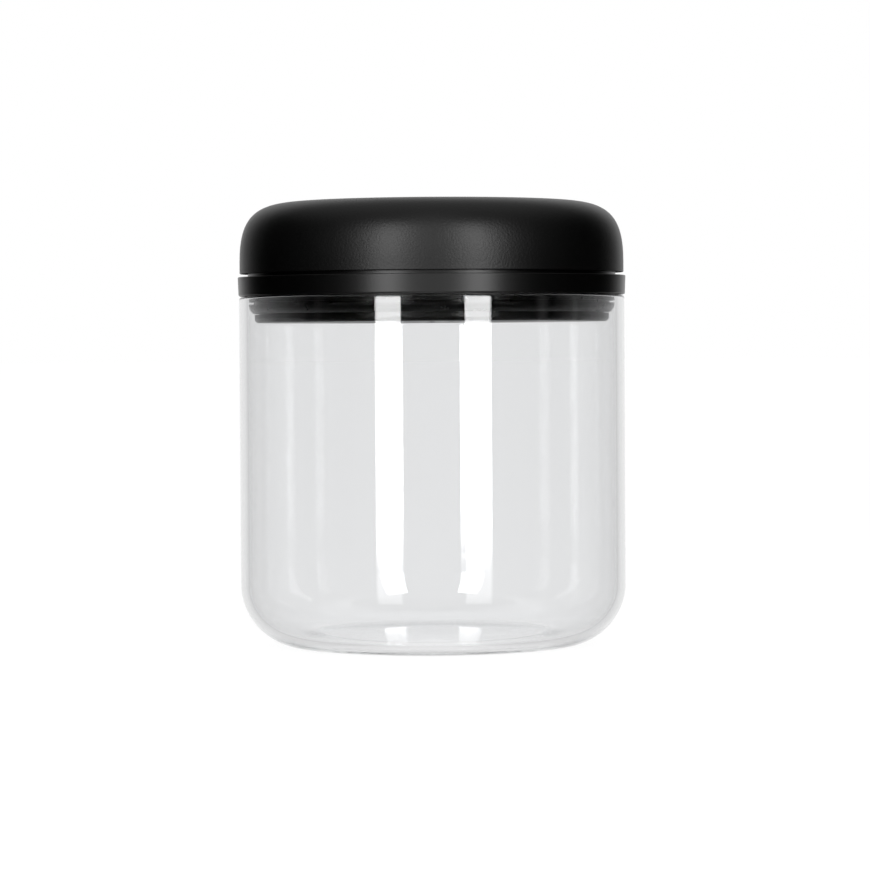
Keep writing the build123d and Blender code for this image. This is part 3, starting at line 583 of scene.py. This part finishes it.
def paintFloor(look):
    finish, tree = emptyMaterial("paleFloor")
    output = addNode(tree, "ShaderNodeOutputMaterial")
    paper = addNode(tree, "ShaderNodeBsdfDiffuse", {"Color": (look["floorColour"],) * 3 + (1,)})
    glow = addNode(tree, "ShaderNodeEmission", {"Color": white})
    both = addNode(tree, "ShaderNodeAddShader")
    direct, mirrored, scattered = rayKinds(tree)
    seen = mathNode(tree, "MULTIPLY", direct, look["floorGlow"])
    plain = mathNode(tree, "MULTIPLY", scattered, look["floorBounce"])
    link(tree, mathNode(tree, "ADD", seen, plain), glow.inputs["Strength"])
    link(tree, paper.outputs[0], both.inputs[0])
    link(tree, glow.outputs[0], both.inputs[1])
    below = addNode(tree, "ShaderNodeNewGeometry")
    clear = addNode(tree, "ShaderNodeBsdfTransparent")
    pick = addNode(tree, "ShaderNodeMixShader")
    link(tree, mathNode(tree, "MAXIMUM", mirrored, below.outputs["Backfacing"]), pick.inputs[0])
    link(tree, both.outputs[0], pick.inputs[1])
    link(tree, clear.outputs[0], pick.inputs[2])
    link(tree, pick.outputs[0], output.inputs["Surface"])
    finish.cycles.emission_sampling = "NONE"
    return finish


def makeFloor(look):
    half = look["floorSize"] / 2
    corners = [(-half, -half, 0), (half, -half, 0), (half, half, 0), (-half, half, 0)]
    sheet = bpy.data.meshes.new("floor")
    sheet.from_pydata(corners, [], [(0, 1, 2, 3)])
    sheet.materials.append(paintFloor(look))
    floor = bpy.data.objects.new("floor", sheet)
    bpy.context.scene.collection.objects.link(floor)
    floor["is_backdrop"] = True


def makeSky(look):
    world = bpy.data.worlds.new("studioSky")
    bpy.context.scene.world = world
    world.use_nodes = True
    world.cycles.sampling_method = "NONE"
    tree = world.node_tree
    tree.nodes.clear()
    output = addNode(tree, "ShaderNodeOutputWorld")
    place = addNode(tree, "ShaderNodeTexCoord")
    axes = addNode(tree, "ShaderNodeSeparateXYZ")
    link(tree, place.outputs["Generated"], axes.inputs[0])
    forward = mathNode(tree, "MULTIPLY", axes.outputs["Y"], -1.0)
    angle = mathNode(tree, "ARCTAN2", axes.outputs["X"], forward)
    turn = mathNode(tree, "ADD", mathNode(tree, "DIVIDE", angle, 2 * pi), 0.5)
    height = axes.outputs["Z"]
    path = addNode(tree, "ShaderNodeLightPath")
    inGlass = mathNode(tree, "GREATER_THAN", path.outputs["Transmission Depth"], anyBounce)
    above = spread(tree, height, 0.0, look["dome"], *look["domeHeights"])
    under = spread(tree, height, look["table"], 0.0, *look["tableHeights"])
    walls = mathNode(tree, "MULTIPLY", inGlass, turnRamp(tree, turn, wallStops(*look["walls"])))
    lower = spread(tree, height, look["underLevel"], 1.0, *look["underHeights"])
    panorama = turnRamp(tree, turn, backdropStops(look["backdrop"]) + bandStops(look))
    sharpRoom = brightest(tree, [mathNode(tree, "MULTIPLY", lower, panorama), walls, above, under])
    softAbove = spread(tree, height, 0.0, look["softDome"], *look["softDomeHeights"])
    softUnder = spread(tree, height, look["softTable"], 0.0, *look["softTableHeights"])
    softFront = mathNode(tree, "MULTIPLY", turnRamp(tree, turn, look["softFillTurns"]), look["softFill"])
    softBack = mathNode(tree, "MULTIPLY",
                        spread(tree, height, 1.0, look["softBackTop"], *look["softBackHeights"]),
                        turnRamp(tree, turn, backdropStops(look["softBackdrop"])))
    softRoom = brightest(tree, [softBack, softAbove, softFront, softUnder])
    sharp = path.outputs["Is Singular Ray"]
    matt = mathNode(tree, "SUBTRACT", 1.0, sharp)
    room = mathNode(tree, "ADD", mathNode(tree, "MULTIPLY", sharp, sharpRoom),
                    mathNode(tree, "MULTIPLY", matt, softRoom))
    direct, mirrored, scattered = rayKinds(tree)
    gloss = mathNode(tree, "MULTIPLY", mathNode(tree, "SUBTRACT", mirrored, scattered), room)
    shown = mathNode(tree, "ADD", direct, mathNode(tree, "MAXIMUM", gloss, 0.0))
    strength = mathNode(tree, "ADD", shown, mathNode(tree, "MULTIPLY", scattered, look["sky"]))
    backdrop = addNode(tree, "ShaderNodeBackground", {"Color": white})
    link(tree, strength, backdrop.inputs["Strength"])
    link(tree, backdrop.outputs[0], output.inputs["Surface"])


def paintStrip(name, look, sampled):
    finish, tree = emptyMaterial(name)
    output = addNode(tree, "ShaderNodeOutputMaterial")
    place = addNode(tree, "ShaderNodeTexCoord")
    axes = addNode(tree, "ShaderNodeSeparateXYZ")
    link(tree, place.outputs["Object"], axes.inputs[0])
    bottom, top = look["lowStripBottom"], look["stripTop"]
    along = spread(tree, axes.outputs["Z"], 0.0, 1.0, bottom, top)
    stops = [((height - bottom) / (top - bottom), share) for height, share in look["stripFade"]]
    glow = addNode(tree, "ShaderNodeEmission", {"Strength": look["stripLevel"]})
    link(tree, levelRamp(tree, along, stops), glow.inputs["Color"])
    link(tree, glow.outputs[0], output.inputs["Surface"])
    finish.cycles.emission_sampling = "FRONT" if sampled else "NONE"
    return finish


def makeStrip(name, look, side, bottom, top, finish):
    ends = [(look["stripDistance"] * sin(radians(turn)), -look["stripDistance"] * cos(radians(turn)))
            for turn in side]
    (leftX, leftY), (rightX, rightY) = ends
    corners = [(leftX, leftY, bottom), (leftX, leftY, top), (rightX, rightY, top), (rightX, rightY, bottom)]
    sheet = bpy.data.meshes.new(name)
    sheet.from_pydata(corners, [], [(0, 1, 2, 3)])
    sheet.materials.append(finish)
    strip = bpy.data.objects.new(name, sheet)
    strip.visible_camera = False
    bpy.context.scene.collection.objects.link(strip)
    strip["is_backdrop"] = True


makeFloor(studio)
makeSky(studio)
highFinish = paintStrip("stripLight", studio, True)
lowFinish = paintStrip("stripLightLow", studio, False)
for side, name in zip(studio["strips"], ("leftStrip", "rightStrip")):
    makeStrip(name, studio, side, studio["stripBottom"], studio["stripTop"], highFinish)
    makeStrip(name + "Low", studio, side, studio["lowStripBottom"], studio["stripBottom"], lowFinish)
tracing = bpy.context.scene.cycles
tracing.max_bounces = studio["bounces"]
tracing.glossy_bounces = studio["glossyBounces"]
tracing.transmission_bounces = studio["bounces"]
print("studio ready")


# Camera, level with the jar and a long way back

view = {
    "lens": 164.0,
    "sensor": 36.0,
    "distance": 1.120,
    "height": 0.085,
    "target": (0.0007, 0.0, 0.0596),
    "roll": 0.35,  # degrees
}


def makeCamera(look):
    data = bpy.data.cameras.new("camera")
    data.lens = look["lens"]
    data.sensor_width = look["sensor"]
    camera = bpy.data.objects.new("camera", data)
    target = Vector(look["target"])
    camera.location = (target.x, -look["distance"], look["height"])
    aim = (target - camera.location).to_track_quat("-Z", "Y").to_matrix().to_4x4()
    camera.rotation_euler = aim.to_euler()
    camera.rotation_euler.rotate_axis("Z", radians(-look["roll"]))
    bpy.context.scene.collection.objects.link(camera)
    bpy.context.scene.camera = camera


makeCamera(view)
bpy.context.scene.view_settings.view_transform = "Standard"
print("camera ready")
bpy.context.view_layer.update()

sizes = {"cad": [list(corner) for corner in cadBox], "visual": [list(corner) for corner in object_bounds()]}
